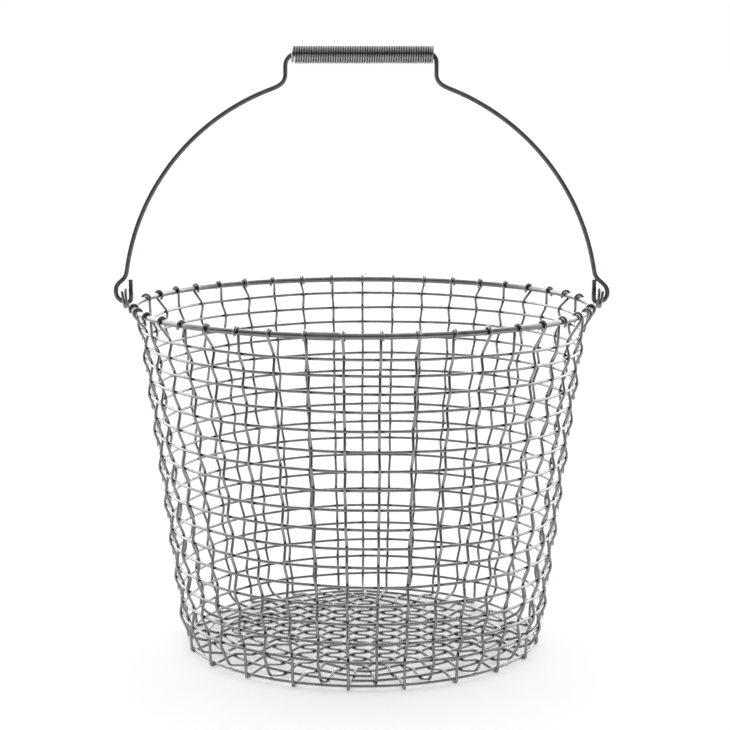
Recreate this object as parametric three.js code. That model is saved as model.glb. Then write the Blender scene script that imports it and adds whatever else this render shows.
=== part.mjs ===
// Woven wire basket with a swinging bail and a loose coil grip.
// Millimetres, +Z up. The origin is the middle of the basket on the surface that it stands on,
// and X runs from one bail eye to the other.

import * as THREE from 'three';

// Wire diameters
const WEAVE_WIRE = 2.1;
const RIM_WIRE = 4.2;
const BAIL_WIRE = 3.5;
const COIL_WIRE = 1.3;

// Clearances between wires
const WEAVE_GAP = 0.7;
const HOOK_GAP = 0.3;
const EYE_GAP = 0.35;
const COIL_GAP = 0.3;
const SEAM_GAP = 0.3;

// Basket
const RIM_RADIUS = 168.2;
const RIM_HEIGHT = 254.3;
const RIM_FLARE = 3.7;
const WALL_FOOT_RADIUS = 132.6;
const RING_RADIUS = 130.2;
const SLEEVE_DIAMETER = 5.8;
const SLEEVE_BORE = 5;
const SLEEVE_LENGTH = 21;
const SLEEVE_SIDES = 8;
const SLEEVE_AFTER = 29;
const EYE_ROOM_BACK = rad(12.6);
const EYE_ROOM_FRONT = rad(8.3);

// Weft: one wire that winds up the wall, closer in its last turns. Its first row's height and its
// turns count from the middle of the back.
const FIRST_ROW_HEIGHT = 14.8;
const TOP_ROW_DROP = 10.5;
const TURNS = 17;
const CLOSE_TURNS = 3;
const CLOSE_SHARE = 0.845;

// Base weave
const LONG_WIRES = 11;
const CROSS_WIRES = 10;
const WEAVE_PITCH = 13.4;
const WEAVE_ANGLE = rad(42.9);
const TAIL = 3;
const BASE_TURNS = 3;
const BASE_RISE = 1.6;
const TURN_WIDTH = 1.1;
const TURN_DEPTH = 1.4;
const TURN_INSET = 0.5;
const TURN_OUTSET = 0.1;
const TURN_SINK = 0.4;
const RING_LEAN = rad(135);

// How each upright passes the base ring, as shares of the room for one crossing
const PASS_START = 1.3;
const PASS_END = 0.65;
const PASS_RISE_OUT = 1.2;
const PASS_RISE_BELOW = 0.35;
const PASS_OVER = 0.2;

// Hooks and eyes at the rim, as angles round the rim wire from its outer side
const OUTWARD_HOOK_START = -50;
const INWARD_HOOK_START = 215;
const HOOK_STEP = 64;
const HOOK_STATIONS = 5;
const HOOK_RISE = 2.5;
const EDGE_SHIFT = 1.2;
const EYE_HEIGHT = 10;
const EYE_DEPTH = 3.5;
const EYE_BOW = 0.6;
const EYE_CROWN = 0.6;
const EYE_OFFSET = 0.7;
const SHOULDER_IN = 5;
const SHOULDER_BELOW = 9;
const EYE_WRAP_START = -80;
const EYE_WRAP_STATIONS = 4;
const EYE_WRAP_SHIFT = 0.3;

// Bail, bent by hand, so its left half stands out more than its right one
const RIGHT_HALF = { hookBend: 7, footOut: 3.1, bowRadius: 172, neckBend: 6 };
const LEFT_HALF = { hookBend: 8.2, footOut: 6, bowRadius: 168, neckBend: 9 };
const HINGE_RISE = 2;
const STUB_OVERLAP = 0.8;
const STUB_LENGTH = 14;
const STUB_BEND = 3;
const STUB_BEND_STATIONS = 3;
const HOOK_BEND_STATIONS = 4;
const FOOT_RISE = 22.7;
const BOW_STATIONS = 9;
const SHOULDER_OUT = 9.5;
const SHOULDER_DROP = 24.6;
const SHOULDER_REACH = 6;
const NECK_DROP = 14;
const NECK_RISE = 0.7;
const NECK_STATIONS = 4;
const BLEND_STATIONS = 4;
const LEG_REACH = 8;
const CROWN_STATIONS = 3;

// Coil grip
const COIL_HEIGHT = 181.3;
const COIL_DIAMETER = 14;
const COIL_LENGTH = 102.4;
const COIL_TURNS = 57;
const COIL_STEPS = 8;
const COIL_SIDES = 5;
const COIL_SHIFT = 0.7;
const COIL_END_GAP = 0.3;
const COIL_PLAY = 3.9;

// Sections: woven wires are three-sided with a corner towards the inside of the basket, and have
// a little under half the metal of round ones
const CORNER_SHARE = 0.52;
const CORNER = CORNER_SHARE * WEAVE_WIRE;
const FLAT = CORNER / 2;
const CROSSING = CORNER + FLAT + WEAVE_GAP;
const RIM_SIDES = 6;
const BAIL_SIDES = 6;

// Wire ends are numbered counterclockwise from the right eye. One cross wire ends in the base, so
// that their number is odd and the weft comes to the other side of each upright on every turn.
const LEFT_EYE = LONG_WIRES + CROSS_WIRES - 1;
const WIRE_ENDS = 2 * LEFT_EYE + 1;
const FIRST_ENDS = [0, LONG_WIRES, LEFT_EYE, LEFT_EYE + LONG_WIRES];
const WEFT_CROSSINGS = TURNS * WIRE_ENDS + LEFT_EYE - 1;
const BACK_MIDDLE = (LEFT_EYE - 2) / 2;

// Places worked out from the sizes
const WALL_SPREAD = RIM_RADIUS - RIM_FLARE - WALL_FOOT_RADIUS;
const WALL_TILT = Math.atan(WALL_SPREAD / RIM_HEIGHT);
const RING_DEPTH = -CORNER * Math.sin(RING_LEAN + (2 * Math.PI) / 3);
const RING_HEIGHT = FLAT + CORNER + WEAVE_GAP + RING_DEPTH;
const WEAVE_HEIGHT = RING_HEIGHT + BASE_RISE;
const TOP_ROW_HEIGHT = RIM_HEIGHT - TOP_ROW_DROP;
const ROW_PITCH = (TOP_ROW_HEIGHT - FIRST_ROW_HEIGHT) / (TURNS - CLOSE_TURNS * (1 - CLOSE_SHARE));
const HOOK_RADIUS = (RIM_WIRE / 2 + CORNER + HOOK_GAP) / Math.cos(rad(HOOK_STEP / 2));
const HINGE_HEIGHT = RIM_HEIGHT + HINGE_RISE;
const STUB_X = RIM_RADIUS + RIM_WIRE / 2 + BAIL_WIRE / 2 - STUB_OVERLAP;
const HOOK_X = STUB_X + STUB_BEND;
const EYE_X = HOOK_X + EYE_OFFSET;
const EYE_HALF_WIDTH = BAIL_WIRE / 2 + CORNER * Math.sin(Math.PI / 3) + EYE_GAP;
const RIGHT_NECK_X = COIL_LENGTH / 2 + COIL_SHIFT + COIL_END_GAP + BAIL_WIRE / 2;
const LEFT_NECK_X = COIL_LENGTH / 2 - COIL_SHIFT + COIL_PLAY + BAIL_WIRE / 2;
const COIL_RADIUS = (COIL_DIAMETER - COIL_WIRE) / 2;
const COIL_BORE = COIL_RADIUS * Math.cos(Math.PI / COIL_STEPS) - COIL_WIRE / 2;
const CROWN_RISE = COIL_BORE - BAIL_WIRE / 2 - COIL_GAP;

const UP = new THREE.Vector3(0, 0, 1);

// Drawn steel wire, darker on the heavier bail
const weaveSteel = steel('weave steel', 0x9a9a98);
const rimSteel = steel('rim steel', 0x8c8c8a);
const bailSteel = steel('bail steel', 0x757573);
const coilSteel = steel('coil steel', 0x83837f);

function steel(name, color) {
  return new THREE.MeshStandardMaterial({ name, color, roughness: 0.36, metalness: 1 });
}

function rad(degrees) {
  return (degrees * Math.PI) / 180;
}

function radial(angle) {
  return new THREE.Vector3(Math.cos(angle), Math.sin(angle), 0);
}

function station(point, up) {
  return { point, up };
}

// A wire's middle line as a list of stations, each with the direction that its section's corner
// takes. Every ring of the wire lies in the plane that halves the bend at its station.
class WireLine extends THREE.Curve {
  constructor(stations) {
    super();
    this.stations = stations;
  }

  getPointAt(u) {
    return this.stations[Math.round(u * (this.stations.length - 1))].point.clone();
  }

  direction(from, to) {
    return this.stations[to].point.clone().sub(this.stations[from].point).normalize();
  }

  computeFrenetFrames(segments) {
    const frames = { tangents: [], normals: [], binormals: [] };
    for (let i = 0; i <= segments; i += 1) {
      const before = this.direction(Math.max(i - 1, 0), Math.max(i, 1));
      const after = this.direction(Math.min(i, segments - 1), Math.min(i + 1, segments));
      const tangent = before.clone().add(after).normalize();
      const binormal = tangent.clone().cross(this.stations[i].up).normalize();
      const normal = binormal.clone().cross(tangent);
      const bend = after.clone().sub(before);
      if (bend.length() > 1e-6) {
        bend.normalize();
        const stretch = 1 / before.dot(tangent) - 1;
        normal.addScaledVector(bend, normal.dot(bend) * stretch);
        binormal.addScaledVector(bend, binormal.dot(bend) * stretch);
      }
      frames.tangents.push(tangent);
      frames.normals.push(normal);
      frames.binormals.push(binormal);
    }
    return frames;
  }
}

function polygon(sides, corner) {
  const points = [];
  for (let i = 0; i < sides; i += 1) {
    const angle = (2 * Math.PI * i) / sides;
    points.push(new THREE.Vector2(corner * Math.cos(angle), corner * Math.sin(angle)));
  }
  return points;
}

function wireGeometry(stations, sides, corner) {
  return new THREE.ExtrudeGeometry(new THREE.Shape(polygon(sides, corner)), {
    steps: stations.length - 1,
    extrudePath: new WireLine(stations),
    bevelEnabled: false,
  });
}

// A tube from a list of rings, each with its points in the same order
function tubeGeometry(rings, isClosed) {
  const sides = rings[0].length;
  const spans = isClosed ? rings.length : rings.length - 1;
  const faces = [];
  for (let span = 0; span < spans; span += 1) {
    const here = span * sides;
    const next = ((span + 1) % rings.length) * sides;
    for (let side = 0; side < sides; side += 1) {
      const other = (side + 1) % sides;
      faces.push(here + side, here + other, next + side);
      faces.push(here + other, next + other, next + side);
    }
  }
  for (let side = 1; !isClosed && side < sides - 1; side += 1) {
    const end = spans * sides;
    faces.push(0, side + 1, side, end, end + side, end + side + 1);
  }
  const geometry = new THREE.BufferGeometry().setFromPoints(rings.flat());
  geometry.setIndex(faces);
  geometry.computeVertexNormals();
  return geometry;
}

// A closed wire about Z, with a corner at every upright. lean turns its section.
function roundGeometry(radius, sides, corner, lean) {
  const rings = [];
  for (let end = WIRE_ENDS - 1; end >= 0; end -= 1) {
    const ring = polygon(sides, corner).map((point) => {
      point.rotateAround(new THREE.Vector2(), lean);
      return inWall(endAngle(end), radius + point.x, point.y);
    });
    rings.push(ring);
  }
  return tubeGeometry(rings, true);
}

function addMesh(parent, name, geometry, material) {
  const mesh = new THREE.Mesh(geometry, material);
  mesh.name = name;
  parent.add(mesh);
  return mesh;
}

function numbered(name, index) {
  return `${name}_${String(index + 1).padStart(2, '0')}`;
}

// Wall: uprights on a cone, with the weft wound round between them

function endAngle(end) {
  if (end === 0) {
    return 0;
  }
  if (end < LEFT_EYE) {
    const step = (Math.PI - 2 * EYE_ROOM_BACK) / (LEFT_EYE - 2);
    return EYE_ROOM_BACK + (end - 1) * step;
  }
  if (end === LEFT_EYE) {
    return Math.PI;
  }
  const step = (Math.PI - 2 * EYE_ROOM_FRONT) / (LEFT_EYE - 1);
  return Math.PI + EYE_ROOM_FRONT + (end - LEFT_EYE - 1) * step;
}

function wallRadius(height) {
  return WALL_FOOT_RADIUS + (WALL_SPREAD * height) / RIM_HEIGHT;
}

function rowHeight(crossing) {
  const turns = (crossing - BACK_MIDDLE) / WIRE_ENDS;
  const even = Math.min(turns, TURNS - CLOSE_TURNS);
  const close = Math.min(turns - even, CLOSE_TURNS);
  return FIRST_ROW_HEIGHT + ROW_PITCH * (even + CLOSE_SHARE * close);
}

// The first crossing of the weft with a wire end. It winds clockwise seen from above, and starts
// behind the left eye. The same sum gives the wire end of a crossing.
function firstCrossing(end) {
  return (LEFT_EYE - 1 - end + WIRE_ENDS) % WIRE_ENDS;
}

function weftPoint(crossing) {
  const end = firstCrossing(crossing % WIRE_ENDS);
  const height = rowHeight(crossing);
  return inWall(endAngle(end), wallRadius(height), height);
}

function weftStation(point) {
  const inward = new THREE.Vector3(-point.x, -point.y, 0).normalize();
  const corner = inward.multiplyScalar(Math.cos(WALL_TILT));
  return station(point, corner.addScaledVector(UP, Math.sin(WALL_TILT)));
}

// The cut end of a stretch halfway between two uprights, on the side of the upright that it meets
function weftCut(crossing, neighbour) {
  const point = weftPoint(crossing);
  const middle = point.clone().lerp(weftPoint(neighbour), 0.5);
  const back = point.sub(middle).setLength(SEAM_GAP / 2);
  return weftStation(middle.add(back));
}

// One turn of the weft, or what is left of it at the top
function weftStations(turn) {
  const first = turn * WIRE_ENDS;
  const last = Math.min(first + WIRE_ENDS, WEFT_CROSSINGS) - 1;
  const stations = [weftCut(first, first - 1)];
  for (let crossing = first; crossing <= last; crossing += 1) {
    stations.push(weftStation(weftPoint(crossing)));
  }
  stations.push(weftCut(last, last + 1));
  return stations;
}

// Base: turns go from the square of the weave to the circle of the base ring

function turnShare(turn) {
  return (turn + TURN_INSET) / (BASE_TURNS + TURN_INSET + TURN_OUTSET);
}

function turnHeight(turn) {
  return WEAVE_HEIGHT - (BASE_RISE * (turn + 1)) / (BASE_TURNS + 1);
}

// One end of a wire in the base, on one of the four sides of the weave: where it leaves the weave
// and where it meets the base ring
function baseEnd(quarter, position) {
  const family = FAMILIES[quarter % 2];
  const rotation = WEAVE_ANGLE + (quarter * Math.PI) / 2;
  const offset = position - (family.count - 1) / 2;
  const number = FIRST_ENDS[quarter] + position;
  const angle = endAngle(number);
  const edge = radial(rotation).multiplyScalar((family.across / 2) * WEAVE_PITCH);
  edge.addScaledVector(radial(rotation + Math.PI / 2), offset * WEAVE_PITCH);
  const foot = radial(angle).multiplyScalar(RING_RADIUS);
  return { number, angle, edge, foot };
}

function turnPoint(end, turn) {
  return end.edge.clone().lerp(end.foot, turnShare(turn));
}

// Both families of base wires. firstSide is the side of the first wire at its first crossing:
// 1 is under or outside, -1 is over or inside.
const FAMILIES = [
  {
    name: 'long_wire',
    count: LONG_WIRES,
    across: CROSS_WIRES,
    firstSide: 1,
  },
  {
    name: 'cross_wire',
    count: CROSS_WIRES,
    across: LONG_WIRES,
    firstSide: CROSS_WIRES % 2 ? -1 : 1,
  },
];

function wireSide(family, index, crossing) {
  return family.firstSide * ((index + crossing) % 2 ? -1 : 1);
}

function inWall(angle, radius, height) {
  return radial(angle).multiplyScalar(radius).setZ(height);
}

function ringStations(angle, side) {
  const inward = radial(angle).negate();
  const corner = UP.clone().add(inward).normalize();
  if (side < 0) {
    const over = inWall(angle, RING_RADIUS + PASS_OVER * CROSSING, RING_HEIGHT + CROSSING);
    return [station(over, corner)];
  }
  const start = inWall(angle, RING_RADIUS - PASS_START * CROSSING, FLAT);
  const end = inWall(angle, RING_RADIUS + PASS_END * CROSSING, FLAT);
  const riseHeight = RING_HEIGHT - PASS_RISE_BELOW * CROSSING;
  const rise = inWall(angle, RING_RADIUS + PASS_RISE_OUT * CROSSING, riseHeight);
  return [station(start, UP), station(end, corner), station(rise, inward)];
}

function rimPoint(end) {
  return inWall(endAngle(end % WIRE_ENDS), RIM_RADIUS, RIM_HEIGHT);
}

// A station beside the rim wire, at a distance along it from the wire's own upright
function aroundRim(end, degrees, shift) {
  const towards = radial(endAngle(end)).multiplyScalar(Math.cos(rad(degrees)));
  towards.addScaledVector(UP, Math.sin(rad(degrees)));
  const along = rimPoint(end + 1).sub(rimPoint(end)).setLength(shift);
  const point = rimPoint(end).add(along).addScaledVector(towards, HOOK_RADIUS);
  return station(point, towards.negate());
}

// An upright that is inside the last row passes under the rim wire and hooks over it from outside.
// One that is outside the last row hooks over it from inside.
function hookStations(end, last, lastSide) {
  const stations = [];
  if (lastSide < 0) {
    const rise = last.point.clone().addScaledVector(UP, HOOK_RISE);
    stations.push(station(rise, last.up));
  }
  const start = lastSide < 0 ? OUTWARD_HOOK_START : INWARD_HOOK_START;
  for (let i = 0; i < HOOK_STATIONS; i += 1) {
    const place = aroundRim(end, start - lastSide * i * HOOK_STEP, 0);
    place.up.multiplyScalar(-lastSide);
    stations.push(place);
  }
  return stations;
}

// The end of a wire that makes an eye: up on one side, over, down on the other side, then under
// the rim wire and round it to the top
function eyeStations(end, lastSide) {
  const angle = endAngle(end);
  const inward = radial(angle).negate();
  const tangent = radial(angle + Math.PI / 2);
  const place = (out, shift, rise) => {
    const point = inWall(angle, EYE_X + out, HINGE_HEIGHT + rise);
    return station(point.addScaledVector(tangent, shift), inward);
  };
  const half = EYE_HALF_WIDTH;
  const stations = [];
  if (lastSide < 0) {
    const shoulder = inWall(angle, RIM_RADIUS - SHOULDER_IN, RIM_HEIGHT - SHOULDER_BELOW);
    stations.push(station(shoulder, inward));
  }
  stations.push(
    place(-EYE_BOW, -half, -EYE_DEPTH),
    place(0, -half, EYE_HEIGHT / 2),
    place(-EYE_BOW, -EYE_CROWN * half, EYE_HEIGHT),
    place(-EYE_BOW, EYE_CROWN * half, EYE_HEIGHT),
    place(0, half, EYE_HEIGHT / 2),
    place(-EYE_BOW, half, -EYE_DEPTH),
  );
  const shift = half + EYE_WRAP_SHIFT;
  for (let i = 0; i < EYE_WRAP_STATIONS; i += 1) {
    stations.push(aroundRim(end, EYE_WRAP_START - i * HOOK_STEP, shift));
  }
  return stations;
}

// From the edge of the base weave to the rim. At the first row an upright bends a little below the
// weft where it is outside it and a little above where it is inside, and so it does at the last.
function endStations(quarter, position, lastSide) {
  const end = baseEnd(quarter, position);
  const inward = radial(end.angle).negate();
  let side = -lastSide;
  const turns = [];
  for (let turn = 0; turn < BASE_TURNS; turn += 1) {
    const point = turnPoint(end, turn).setZ(turnHeight(turn) - side * CROSSING);
    turns.push(station(point, UP));
    side = -side;
  }
  const lastHeight = WEAVE_HEIGHT - (lastSide * CROSSING) / 2;
  const firstRun = WEAVE_PITCH / 2 + end.edge.distanceTo(turnPoint(end, 0));
  const share = WEAVE_PITCH / 2 / firstRun;
  end.edge.setZ(THREE.MathUtils.lerp(lastHeight, turns[0].point.z, share));
  const stations = [station(end.edge, UP), ...turns, ...ringStations(end.angle, side)];
  const first = firstCrossing(end.number);
  for (let crossing = first; crossing < WEFT_CROSSINGS; crossing += WIRE_ENDS) {
    side = -side;
    const height = rowHeight(crossing);
    const radius = wallRadius(height) + side * CROSSING;
    const isLast = crossing + WIRE_ENDS >= WEFT_CROSSINGS;
    const isEdge = crossing === first || (isLast && side > 0);
    const shift = isEdge ? side * EDGE_SHIFT : 0;
    stations.push(station(inWall(end.angle, radius, height - shift), inward));
  }
  if (end.number === 0 || end.number === LEFT_EYE) {
    return stations.concat(eyeStations(end.number, side));
  }
  return stations.concat(hookStations(end.number, stations[stations.length - 1], side));
}

// A whole wire: down one wall, through the base weave and up the other wall. The last cross wire
// has no end in the left side of the wall, where it stops just past its last crossing.
function wovenStations(quarter, index) {
  const family = FAMILIES[quarter];
  const offset = index - (family.count - 1) / 2;
  const rotation = WEAVE_ANGLE + (quarter * Math.PI) / 2;
  const along = radial(rotation);
  const sideways = radial(rotation + Math.PI / 2);
  const weave = [];
  for (let crossing = 0; crossing < family.across; crossing += 1) {
    const run = (crossing - (family.across - 1) / 2) * WEAVE_PITCH;
    const height = WEAVE_HEIGHT - (wireSide(family, index, crossing) * CROSSING) / 2;
    const point = along.clone().multiplyScalar(run);
    point.addScaledVector(sideways, offset * WEAVE_PITCH).setZ(height);
    weave.push(station(point, UP));
  }
  const near = endStations(quarter + 2, family.count - 1 - index, wireSide(family, index, 0));
  if (quarter === 1 && index === family.count - 1) {
    const tail = weave[weave.length - 1].point.clone().addScaledVector(along, TAIL);
    return [...near.reverse(), ...weave, station(tail, UP)];
  }
  const far = endStations(quarter, index, wireSide(family, index, family.across - 1));
  return [...near.reverse(), ...weave, ...far];
}

// The sleeve that joins both ends of the rim wire, halfway between two uprights
function addSleeve(parent) {
  const shape = new THREE.Shape(polygon(SLEEVE_SIDES, SLEEVE_DIAMETER / 2));
  shape.holes.push(new THREE.Path(polygon(SLEEVE_SIDES, SLEEVE_BORE / 2)));
  const geometry = new THREE.ExtrudeGeometry(shape, { depth: SLEEVE_LENGTH, bevelEnabled: false });
  geometry.translate(0, 0, -SLEEVE_LENGTH / 2);
  const sleeve = addMesh(parent, 'rim_sleeve', geometry, rimSteel);
  const before = rimPoint(SLEEVE_AFTER);
  const after = rimPoint(SLEEVE_AFTER + 1);
  sleeve.position.copy(before).lerp(after, 0.5);
  sleeve.quaternion.setFromUnitVectors(UP, after.sub(before).normalize());
}

function buildBasket() {
  const basket = new THREE.Group();
  const rim = roundGeometry(RIM_RADIUS, RIM_SIDES, RIM_WIRE / 2, 0);
  addMesh(basket, 'rim_ring', rim, rimSteel).position.z = RIM_HEIGHT;
  addSleeve(basket);
  for (let turn = 0; turn <= TURNS; turn += 1) {
    const geometry = wireGeometry(weftStations(turn), 3, CORNER);
    addMesh(basket, numbered('weft_turn', turn), geometry, weaveSteel);
  }
  const ring = roundGeometry(RING_RADIUS, 3, CORNER, RING_LEAN);
  addMesh(basket, 'base_ring', ring, weaveSteel).position.z = RING_HEIGHT;
  for (let turn = 0; turn < BASE_TURNS; turn += 1) {
    const mesh = addMesh(basket, numbered('base_turn', turn), turnGeometry(turn), weaveSteel);
    mesh.position.z = turnHeight(turn) - TURN_SINK * TURN_DEPTH;
  }
  FAMILIES.forEach((family, quarter) => {
    for (let index = 0; index < family.count; index += 1) {
      const geometry = wireGeometry(wovenStations(quarter, index), 3, CORNER);
      addMesh(basket, numbered(family.name, index), geometry, weaveSteel);
    }
  });
  return basket;
}

// A closed wire in the base that passes every wire end, from the weave's square to a circle
function turnGeometry(turn) {
  const outer = [];
  const inner = [];
  FIRST_ENDS.forEach((first, quarter) => {
    const next = quarter < 3 ? FIRST_ENDS[quarter + 1] : WIRE_ENDS;
    for (let position = 0; first + position < next; position += 1) {
      const end = baseEnd(quarter, position);
      const point = turnPoint(end, turn);
      const half = end.foot.sub(end.edge).setLength(TURN_WIDTH / 2);
      outer.push(new THREE.Vector2(point.x + half.x, point.y + half.y));
      inner.push(new THREE.Vector2(point.x - half.x, point.y - half.y));
    }
  });
  const shape = new THREE.Shape(outer);
  shape.holes.push(new THREE.Path(inner));
  return new THREE.ExtrudeGeometry(shape, { depth: TURN_DEPTH, bevelEnabled: false });
}

// Bail: its group has its origin on the hinge axis, and these points lie in its X-Z plane

function bailPoint(x, z) {
  return new THREE.Vector3(x, 0, z);
}

// A stub and a tight bend down to the hinge axis, and a wider bend up to the leg
function hookOfBail(hookBend) {
  const bend = (radius, angle) => {
    const x = HOOK_X + radius * Math.cos(angle);
    return bailPoint(x, radius + radius * Math.sin(angle));
  };
  const points = [bailPoint(STUB_X, STUB_BEND + STUB_LENGTH)];
  for (let i = 0; i < STUB_BEND_STATIONS; i += 1) {
    points.push(bend(STUB_BEND, Math.PI + ((Math.PI / 2) * i) / STUB_BEND_STATIONS));
  }
  for (let i = 0; i <= HOOK_BEND_STATIONS; i += 1) {
    points.push(bend(hookBend, Math.PI * 1.5 + ((Math.PI / 2) * i) / HOOK_BEND_STATIONS));
  }
  return points;
}

function blend(from, fromWay, to, toWay) {
  const start = from.clone().add(fromWay);
  const finish = to.clone().sub(toWay);
  return new THREE.CubicBezierCurve3(from, start, finish, to).getPoints(BLEND_STATIONS).slice(1);
}

// The middle of the circle that passes through both ends of a bow, on the inner side
function bowCentre(foot, shoulder, radius) {
  const chord = shoulder.clone().sub(foot);
  const inward = bailPoint(-chord.z, chord.x).normalize();
  const depth = Math.sqrt(radius ** 2 - chord.lengthSq() / 4);
  return foot.clone().addScaledVector(chord, 0.5).addScaledVector(inward, depth);
}

// Half of the bail, drawn on the +X side, from its stub to the end of its neck's bend
function bailHalf(half, neckX) {
  const { hookBend, footOut, bowRadius, neckBend } = half;
  const foot = bailPoint(RIM_RADIUS + footOut, FOOT_RISE);
  const shoulder = bailPoint(neckX + SHOULDER_OUT, COIL_HEIGHT - SHOULDER_DROP);
  const centre = bowCentre(foot, shoulder, bowRadius);
  const from = Math.atan2(foot.z - centre.z, foot.x - centre.x);
  const to = Math.atan2(shoulder.z - centre.z, shoulder.x - centre.x);
  const way = (angle, length) => bailPoint(-length * Math.sin(angle), length * Math.cos(angle));
  const points = hookOfBail(hookBend);
  const leg = points[points.length - 1];
  points.push(...blend(leg, bailPoint(0, LEG_REACH), foot, way(from, LEG_REACH)));
  for (let i = 1; i <= BOW_STATIONS; i += 1) {
    const angle = from + ((to - from) * i) / BOW_STATIONS;
    const reach = bailPoint(bowRadius * Math.cos(angle), bowRadius * Math.sin(angle));
    points.push(reach.add(centre));
  }
  const neck = bailPoint(neckX, COIL_HEIGHT - NECK_DROP);
  const up = bailPoint(0, SHOULDER_REACH);
  points.push(...blend(points[points.length - 1], way(to, SHOULDER_REACH), neck, up));
  const bendHeight = COIL_HEIGHT + NECK_RISE - neckBend;
  for (let i = 0; i < NECK_STATIONS; i += 1) {
    const angle = ((Math.PI / 2) * i) / (NECK_STATIONS - 1);
    const x = neckX - neckBend + neckBend * Math.cos(angle);
    points.push(bailPoint(x, bendHeight + neckBend * Math.sin(angle)));
  }
  return points;
}

// Inside the coil the wire rises a little towards its middle, where the coil hangs on it
function crownPoints(from, to) {
  const points = [];
  for (let i = 1; i <= CROWN_STATIONS; i += 1) {
    const share = i / (CROWN_STATIONS + 1);
    const rise = (CROWN_RISE - NECK_RISE) * Math.sin(Math.PI * share);
    points.push(bailPoint(THREE.MathUtils.lerp(from.x, to.x, share), from.z + rise));
  }
  return points;
}

function bailStations() {
  const right = bailHalf(RIGHT_HALF, RIGHT_NECK_X);
  const mirrored = bailHalf(LEFT_HALF, LEFT_NECK_X);
  const left = mirrored.map((point) => bailPoint(-point.x, point.z)).reverse();
  const crown = crownPoints(right[right.length - 1], left[0]);
  const across = new THREE.Vector3(0, 1, 0);
  return [...right, ...crown, ...left].map((point) => station(point, across));
}

// Coil: one unbroken helix about its group's X axis

function coilMiddle(step) {
  const angle = (2 * Math.PI * step) / COIL_STEPS;
  const pitch = (COIL_LENGTH - COIL_WIRE) / COIL_TURNS;
  const x = -(COIL_LENGTH - COIL_WIRE) / 2 + (pitch * step) / COIL_STEPS;
  return new THREE.Vector3(x, COIL_RADIUS * Math.sin(angle), COIL_RADIUS * Math.cos(angle));
}

function coilGeometry() {
  const rings = [];
  for (let step = 0; step <= COIL_TURNS * COIL_STEPS; step += 1) {
    const middle = coilMiddle(step);
    const outward = new THREE.Vector3(0, middle.y, middle.z).normalize();
    const ring = polygon(COIL_SIDES, COIL_WIRE / 2).map((point) => {
      const place = middle.clone().addScaledVector(outward, point.x);
      place.x += point.y;
      return place;
    });
    rings.push(ring);
  }
  return tubeGeometry(rings, false);
}

// The least distance between the wire's surfaces on neighbouring turns, measured on points
function coilGap() {
  const fine = 8;
  let least = Infinity;
  const point = coilMiddle(COIL_STEPS * 2);
  for (let i = fine / 2; i <= COIL_STEPS * fine * 1.5; i += 1) {
    const step = COIL_STEPS * 2 + COIL_STEPS / 2 + i / fine;
    least = Math.min(least, point.distanceTo(coilMiddle(step)) - COIL_WIRE);
  }
  return least;
}

function buildBail() {
  const bail = new THREE.Group();
  bail.position.z = HINGE_HEIGHT;
  const wire = wireGeometry(bailStations(), BAIL_SIDES, BAIL_WIRE / 2);
  addMesh(bail, 'bail_wire', wire, bailSteel);
  const grip = new THREE.Group();
  grip.position.set(COIL_SHIFT, 0, COIL_HEIGHT);
  addMesh(grip, 'grip_coil', coilGeometry(), coilSteel);
  bail.add(grip);
  return bail;
}

const basketWithBail = new THREE.Group();
basketWithBail.add(buildBasket(), buildBail());
console.log(`grip coil: least gap between turns ${coilGap().toFixed(2)} mm`);

export default basketWithBail;
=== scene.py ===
"""Woven wire basket with a swinging bail and a loose coil grip.

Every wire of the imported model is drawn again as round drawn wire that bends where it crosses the
next one. Sizes are in millimetres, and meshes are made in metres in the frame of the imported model.
"""
import logging
import math
import random
from dataclasses import dataclass, field
from enum import Enum

import bpy
import numpy
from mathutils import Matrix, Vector

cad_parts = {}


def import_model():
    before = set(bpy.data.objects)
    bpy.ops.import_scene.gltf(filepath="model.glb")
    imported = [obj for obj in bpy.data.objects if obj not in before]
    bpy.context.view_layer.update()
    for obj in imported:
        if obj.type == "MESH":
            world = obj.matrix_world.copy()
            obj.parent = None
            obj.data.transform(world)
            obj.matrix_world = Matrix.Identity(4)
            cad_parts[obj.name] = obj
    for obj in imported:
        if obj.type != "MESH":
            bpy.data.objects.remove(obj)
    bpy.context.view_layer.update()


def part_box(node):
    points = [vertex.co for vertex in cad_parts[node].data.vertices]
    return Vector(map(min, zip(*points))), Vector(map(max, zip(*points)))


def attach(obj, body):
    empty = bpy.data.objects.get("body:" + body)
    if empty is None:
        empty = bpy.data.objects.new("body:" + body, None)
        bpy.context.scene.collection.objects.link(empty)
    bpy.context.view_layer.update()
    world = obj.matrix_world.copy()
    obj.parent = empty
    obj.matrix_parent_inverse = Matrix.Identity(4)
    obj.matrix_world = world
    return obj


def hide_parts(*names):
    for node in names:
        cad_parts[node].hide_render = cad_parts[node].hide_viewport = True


LOG = logging.getLogger("wire_basket")
MM = 0.001
UP = Vector((0.0, 0.0, 1.0))
NOWHERE = Vector((0.0, 0.0, 0.0))
# painted shade too faint to see, at a crossing of a base turn
FAINT_SHADE = UP * 0.01     # a crossing whose spot is too faint to see
THICK_SIDES = 16            # sides of the heavier wires' section

# How a bend's curve and the painted shade beside a crossing lie on the wire
CURVE_SHARE = 0.45      # the most of a straight stretch that a curve takes
BESIDE_SHARE = 0.48     # the most of it before the point beside a curve
BESIDE_REACH = 1.6      # that point's distance from the bend, in setbacks
SHADE_FALL = 1.5         # how late the spot fades along the wire
SHADE_GAIN = 1.4         # how far the spot goes round the wire

# Seeds of the hand work's drift
DRIFT_SEED = 100
LEAN_SEED = 300
FOOT_SEED = 700


class Body(Enum):
    """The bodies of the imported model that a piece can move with."""

    BASKET = "basket"
    BAIL = "bail"
    GRIP = "grip"


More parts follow.
